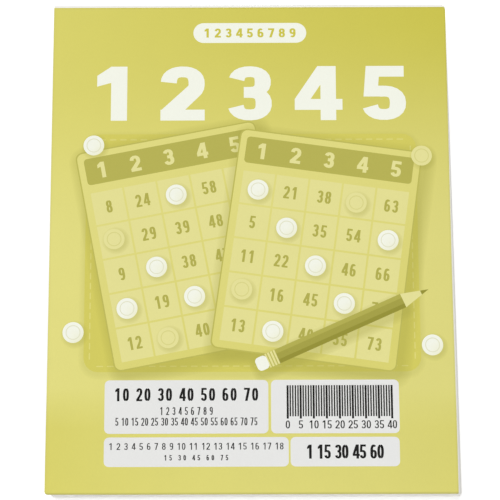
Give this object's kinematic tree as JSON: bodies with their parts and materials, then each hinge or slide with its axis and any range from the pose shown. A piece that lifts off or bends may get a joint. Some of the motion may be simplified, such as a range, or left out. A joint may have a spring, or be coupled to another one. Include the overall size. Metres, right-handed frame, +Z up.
{
  "type": "bingo card pad",
  "caption": "Glued pad of paper bingo cards: a printed cover and thin card leaves that turn up about the glued head edge, on a grey backing card.",
  "frame": {"origin": "centre of the pad's underside, on the surface that it lies on", "axes": "+Z up through the cover, +Y towards the glued head edge, +X to the right as the cover is read"},
  "size_m": [0.09, 0.1128, 0.0082],
  "materials": {
    "cover_print": "offset paper printed in yellow-green tints with white",
    "card_leaf": "thin white offset paper printed with a dark number grid",
    "block_leaf": "thin white offset paper, guillotined edges",
    "grey_board": "uncoated pale grey chipboard with fibre flecks",
    "padding_glue": "brushed film of flexible padding glue, satin"
  },
  "bodies": {
    "block": {"back_card": "grey_board", "head_glue": "padding_glue", "bundle_01": "block_leaf", "bundle_02": "block_leaf", "bundle_03": "block_leaf", "bundle_04": "block_leaf", "bundle_05": "block_leaf", "bundle_06": "block_leaf", "bundle_07": "block_leaf", "bundle_08": "block_leaf", "bundle_09": "block_leaf", "bundle_10": "block_leaf"},
    "leaf_01": {"leaf_01": "card_leaf"},
    "leaf_02": {"leaf_02": "card_leaf"},
    "leaf_03": {"leaf_03": "card_leaf"},
    "leaf_04": {"leaf_04": "card_leaf"},
    "leaf_05": {"leaf_05": "card_leaf"},
    "leaf_06": {"leaf_06": "card_leaf"},
    "leaf_07": {"leaf_07": "card_leaf"},
    "leaf_08": {"leaf_08": "card_leaf"},
    "leaf_09": {"leaf_09": "card_leaf"},
    "leaf_10": {"leaf_10": "card_leaf"},
    "leaf_11": {"leaf_11": "card_leaf"},
    "leaf_12": {"leaf_12": "card_leaf"},
    "leaf_13": {"leaf_13": "card_leaf"},
    "leaf_14": {"leaf_14": "card_leaf"},
    "leaf_15": {"leaf_15": "card_leaf"},
    "leaf_16": {"leaf_16": "card_leaf"},
    "cover": {"cover": "cover_print"}
  },
  "joints": [
    {"name": "cover_turn", "type": "hinge", "parent": "leaf_01", "child": "cover", "pos_m": [0, 0.0564, 0.008], "axis": [-1, 0, 0], "range_deg": [0, 138], "deforming": ["head_glue"]},
    {"name": "leaf_01_turn", "type": "hinge", "parent": "block", "child": "leaf_01", "pos_m": [0, 0.0564, 0.00793], "axis": [-1, 0, 0], "range_deg": [0, 45], "deforming": ["head_glue"]},
    {"name": "leaf_02_turn", "type": "hinge", "parent": "block", "child": "leaf_02", "pos_m": [0, 0.0564, 0.00785], "axis": [-1, 0, 0], "range_deg": [0, 42.19], "deforming": ["head_glue"]},
    {"name": "leaf_03_turn", "type": "hinge", "parent": "block", "child": "leaf_03", "pos_m": [0, 0.0564, 0.00778], "axis": [-1, 0, 0], "range_deg": [0, 39.38], "deforming": ["head_glue"]},
    {"name": "leaf_04_turn", "type": "hinge", "parent": "block", "child": "leaf_04", "pos_m": [0, 0.0564, 0.00771], "axis": [-1, 0, 0], "range_deg": [0, 36.56], "deforming": ["head_glue"]},
    {"name": "leaf_05_turn", "type": "hinge", "parent": "block", "child": "leaf_05", "pos_m": [0, 0.0564, 0.00763], "axis": [-1, 0, 0], "range_deg": [0, 33.75], "deforming": ["head_glue"]},
    {"name": "leaf_06_turn", "type": "hinge", "parent": "block", "child": "leaf_06", "pos_m": [0, 0.0564, 0.00756], "axis": [-1, 0, 0], "range_deg": [0, 30.94], "deforming": ["head_glue"]},
    {"name": "leaf_07_turn", "type": "hinge", "parent": "block", "child": "leaf_07", "pos_m": [0, 0.0564, 0.00748], "axis": [-1, 0, 0], "range_deg": [0, 28.12], "deforming": ["head_glue"]},
    {"name": "leaf_08_turn", "type": "hinge", "parent": "block", "child": "leaf_08", "pos_m": [0, 0.0564, 0.00741], "axis": [-1, 0, 0], "range_deg": [0, 25.31], "deforming": ["head_glue"]},
    {"name": "leaf_09_turn", "type": "hinge", "parent": "block", "child": "leaf_09", "pos_m": [0, 0.0564, 0.00733], "axis": [-1, 0, 0], "range_deg": [0, 22.5], "deforming": ["head_glue"]},
    {"name": "leaf_10_turn", "type": "hinge", "parent": "block", "child": "leaf_10", "pos_m": [0, 0.0564, 0.00726], "axis": [-1, 0, 0], "range_deg": [0, 19.69], "deforming": ["head_glue"]},
    {"name": "leaf_11_turn", "type": "hinge", "parent": "block", "child": "leaf_11", "pos_m": [0, 0.0564, 0.00718], "axis": [-1, 0, 0], "range_deg": [0, 16.88], "deforming": ["head_glue"]},
    {"name": "leaf_12_turn", "type": "hinge", "parent": "block", "child": "leaf_12", "pos_m": [0, 0.0564, 0.00711], "axis": [-1, 0, 0], "range_deg": [0, 14.06], "deforming": ["head_glue"]},
    {"name": "leaf_13_turn", "type": "hinge", "parent": "block", "child": "leaf_13", "pos_m": [0, 0.0564, 0.00703], "axis": [-1, 0, 0], "range_deg": [0, 11.25], "deforming": ["head_glue"]},
    {"name": "leaf_14_turn", "type": "hinge", "parent": "block", "child": "leaf_14", "pos_m": [0, 0.0564, 0.00696], "axis": [-1, 0, 0], "range_deg": [0, 8.44], "deforming": ["head_glue"]},
    {"name": "leaf_15_turn", "type": "hinge", "parent": "block", "child": "leaf_15", "pos_m": [0, 0.0564, 0.00688], "axis": [-1, 0, 0], "range_deg": [0, 5.62], "deforming": ["head_glue"]},
    {"name": "leaf_16_turn", "type": "hinge", "parent": "block", "child": "leaf_16", "pos_m": [0, 0.0564, 0.00681], "axis": [-1, 0, 0], "range_deg": [0, 2.81], "deforming": ["head_glue"]}
  ],
  "couplings": [
    {"joint": "leaf_02_turn", "follows": "leaf_01_turn", "ratio": 0.9375},
    {"joint": "leaf_03_turn", "follows": "leaf_01_turn", "ratio": 0.875},
    {"joint": "leaf_04_turn", "follows": "leaf_01_turn", "ratio": 0.8125},
    {"joint": "leaf_05_turn", "follows": "leaf_01_turn", "ratio": 0.75},
    {"joint": "leaf_06_turn", "follows": "leaf_01_turn", "ratio": 0.6875},
    {"joint": "leaf_07_turn", "follows": "leaf_01_turn", "ratio": 0.625},
    {"joint": "leaf_08_turn", "follows": "leaf_01_turn", "ratio": 0.5625},
    {"joint": "leaf_09_turn", "follows": "leaf_01_turn", "ratio": 0.5},
    {"joint": "leaf_10_turn", "follows": "leaf_01_turn", "ratio": 0.4375},
    {"joint": "leaf_11_turn", "follows": "leaf_01_turn", "ratio": 0.375},
    {"joint": "leaf_12_turn", "follows": "leaf_01_turn", "ratio": 0.3125},
    {"joint": "leaf_13_turn", "follows": "leaf_01_turn", "ratio": 0.25},
    {"joint": "leaf_14_turn", "follows": "leaf_01_turn", "ratio": 0.1875},
    {"joint": "leaf_15_turn", "follows": "leaf_01_turn", "ratio": 0.125},
    {"joint": "leaf_16_turn", "follows": "leaf_01_turn", "ratio": 0.0625}
  ]
}
